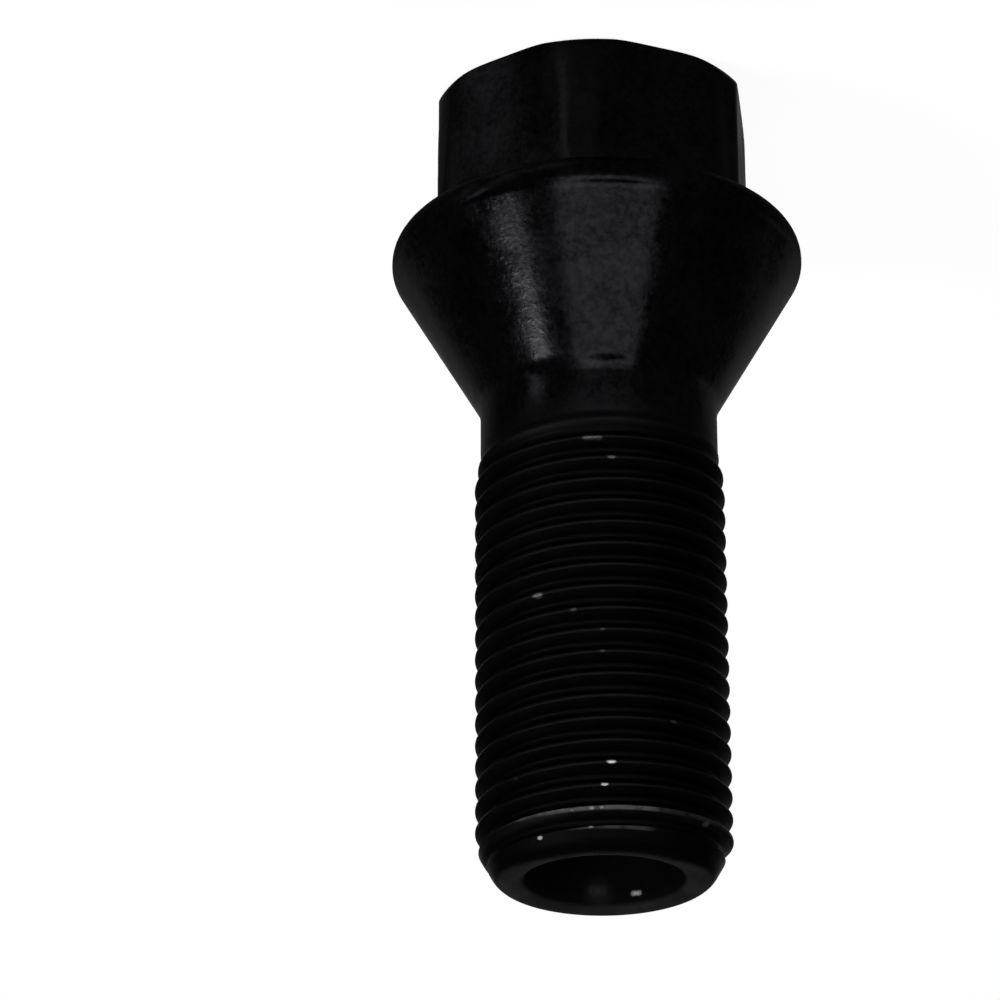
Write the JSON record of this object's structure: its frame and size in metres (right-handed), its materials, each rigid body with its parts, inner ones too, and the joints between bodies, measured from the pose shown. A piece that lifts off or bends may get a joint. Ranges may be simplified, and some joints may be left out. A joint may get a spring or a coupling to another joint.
{
  "type": "wheel bolt",
  "caption": "Black steel wheel bolt with a 17 mm hexagon head, a round flange, a 60 degree conical seat and an M14 x 1.25 threaded shank with a cupped point.",
  "frame": {"origin": "centre of the head's top face, on which the bolt stands", "axes": "+Z along the bolt's axis from the head to the point; two of the hexagon's corners lie on the Y axis and two of its flats face +X and -X"},
  "size_m": [0.0232, 0.0232, 0.0468],
  "materials": {
    "black_steel": "black phosphate on steel, satin, rubbed bright on edges"
  },
  "bodies": {
    "root": {"wheel_bolt": "black_steel"}
  },
  "joints": []
}
